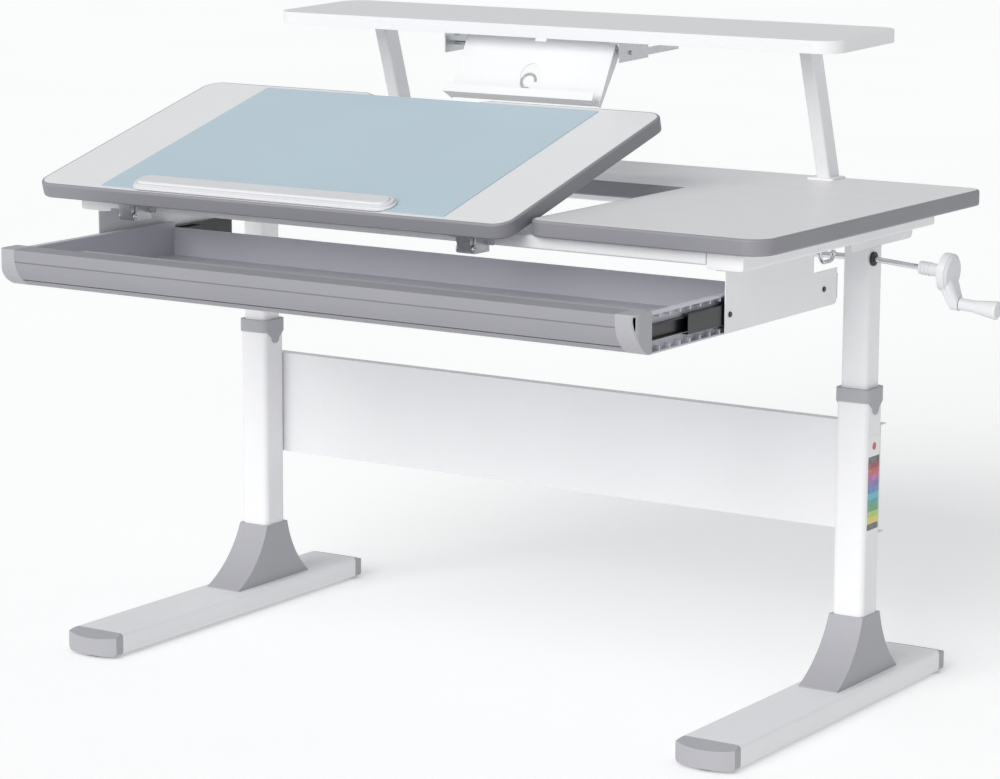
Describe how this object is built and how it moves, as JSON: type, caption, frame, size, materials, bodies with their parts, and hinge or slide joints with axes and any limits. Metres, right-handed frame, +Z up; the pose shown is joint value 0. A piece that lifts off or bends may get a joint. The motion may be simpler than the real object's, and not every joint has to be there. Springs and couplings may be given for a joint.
{
  "type": "height adjustable standing desk",
  "caption": "Crank raised desk on two telescopic columns, with a tilting drawing board, a wide drawer, a rear shelf on two legs and a folding book holder.",
  "frame": {"origin": "middle of the whole desk's outline seen from above, at floor level", "axes": "+X to the right as the user sees it (crank side), -Y towards the user, +Z up"},
  "size_m": [1.3466, 0.8726, 0.9479],
  "materials": {
    "white_steel": "white powder coat, satin",
    "grey_plastic": "moulded, fine texture",
    "rubber": "matt",
    "zinc_steel": "zinc plated",
    "brass": "turned",
    "label": "printed film with plain colour bars",
    "black_plastic": "moulded",
    "black_steel": "black zinc",
    "laminate_board": "white melamine board, satin",
    "edge_band": "soft edge band",
    "chrome_rod": "bright",
    "blue_mat": "matt sheet",
    "pale_plastic": "moulded, satin",
    "drawer_plastic": "extruded, satin",
    "light_grey_plastic": "moulded, satin"
  },
  "bodies": {
    "base": {"foot_left": "white_steel", "foot_right": "white_steel", "foot_end_caps": "grey_plastic", "foot_pads": "rubber", "frame_bolts": "zinc_steel", "column_cover_left": "grey_plastic", "column_cover_right": "grey_plastic", "outer_tube_left": "white_steel", "outer_tube_right": "white_steel", "collar_left": "grey_plastic", "collar_right": "grey_plastic", "crossbar": "white_steel", "nut_posts": "zinc_steel", "lead_nuts": "brass", "height_label": "label"},
    "lift": {"inner_tube_left": "white_steel", "inner_tube_right": "white_steel", "head_beam_left": "white_steel", "head_beam_right": "white_steel", "side_rail_left": "white_steel", "side_rail_right": "white_steel", "front_rail": "white_steel", "rear_rail": "white_steel", "strut_rail": "white_steel", "gearbox_left": "black_plastic", "gearbox_right": "black_plastic", "crank_bush": "black_plastic", "drawer_panel_left": "white_steel", "drawer_panel_right": "white_steel", "slide_outer_members": "black_steel", "worktop_core": "laminate_board", "worktop_band": "edge_band", "shelf_board": "laminate_board", "shelf_leg_left": "white_steel", "shelf_leg_right": "white_steel", "frame_screws": "zinc_steel", "holder_brackets": "zinc_steel", "bag_hook": "chrome_rod", "hinge_brackets": "zinc_steel"},
    "board": {"board_core": "laminate_board", "board_band": "edge_band", "drawing_mat": "blue_mat", "paper_stop": "pale_plastic", "board_knuckles": "zinc_steel"},
    "strut": {"tilt_strut": "white_steel"},
    "rollers": {"strut_rollers": "rubber"},
    "drawer": {"drawer_tray": "drawer_plastic", "pen_strip": "light_grey_plastic", "drawer_front": "drawer_plastic", "drawer_end_caps": "light_grey_plastic", "slide_inner_members": "black_steel"},
    "slide_middle": {"slide_middle_members": "black_steel"},
    "crank": {"crank_rod": "chrome_rod", "crank_arm": "pale_plastic"},
    "grip": {"crank_grip": "pale_plastic"},
    "screw_left": {"lead_screw_left": "chrome_rod"},
    "screw_right": {"lead_screw_right": "chrome_rod"},
    "shaft": {"cross_shaft": "chrome_rod"},
    "holder": {"holder_plate": "white_steel"},
    "clip": {"page_clip": "zinc_steel"}
  },
  "joints": [
    {"name": "lift_slide", "type": "slide", "parent": "base", "child": "lift", "axis": [0, 0, 1], "range_m": [-0.167, 0.053]},
    {"name": "board_tilt", "type": "hinge", "parent": "lift", "child": "board", "pos_m": [-0.25927, -0.2497, 0.675], "axis": [1, 0, 0], "range_deg": [-15.3, 29.7]},
    {"name": "strut_fold", "type": "hinge", "parent": "lift", "child": "strut", "pos_m": [-0.20827, -0.0417, 0.689], "axis": [1, 0, 0], "range_deg": [-31.1, 60.4]},
    {"name": "roller_spin", "type": "hinge", "parent": "strut", "child": "rollers", "pos_m": [-0.20827, 0.13407, 0.7945], "axis": [1, 0, 0], "continuous": true},
    {"name": "drawer_slide", "type": "slide", "parent": "lift", "child": "drawer", "axis": [0, -1, 0], "range_m": [-0.182, 0.1]},
    {"name": "middle_slide", "type": "slide", "parent": "lift", "child": "slide_middle", "axis": [0, -1, 0], "range_m": [-0.091, 0.05]},
    {"name": "crank_turn", "type": "hinge", "parent": "lift", "child": "crank", "pos_m": [0.47773, 0.1773, 0.644], "axis": [0.9969, 0, -0.0785], "continuous": true},
    {"name": "grip_spin", "type": "hinge", "parent": "crank", "child": "grip", "pos_m": [0.61458, 0.1773, 0.5921], "axis": [0.9969, 0, -0.0785], "continuous": true},
    {"name": "screw_left_turn", "type": "hinge", "parent": "lift", "child": "screw_left", "pos_m": [-0.60327, 0.1883, 0.45], "axis": [0, 0, 1], "continuous": true},
    {"name": "screw_right_turn", "type": "hinge", "parent": "lift", "child": "screw_right", "pos_m": [0.45673, 0.1883, 0.45], "axis": [0, 0, 1], "continuous": true},
    {"name": "shaft_turn", "type": "hinge", "parent": "lift", "child": "shaft", "pos_m": [-0.07327, 0.1773, 0.644], "axis": [1, 0, 0], "continuous": true},
    {"name": "holder_tilt", "type": "hinge", "parent": "lift", "child": "holder", "pos_m": [-0.11827, 0.2463, 0.906], "axis": [1, 0, 0], "range_deg": [0, 40]},
    {"name": "clip_turn", "type": "hinge", "parent": "holder", "child": "clip", "pos_m": [-0.11827, 0.20267, 0.84312], "axis": [0, -0.8829, 0.4695], "range_deg": [-75, 75]}
  ],
  "couplings": [
    {"joint": "strut_fold", "follows": "board_tilt", "ratio": 2.03},
    {"joint": "middle_slide", "follows": "drawer_slide", "ratio": 0.5},
    {"joint": "crank_turn", "follows": "lift_slide", "rad_per_m": 1047.2},
    {"joint": "screw_left_turn", "follows": "lift_slide", "rad_per_m": 1047.2},
    {"joint": "screw_right_turn", "follows": "lift_slide", "rad_per_m": 1047.2},
    {"joint": "shaft_turn", "follows": "lift_slide", "rad_per_m": 1047.2}
  ]
}
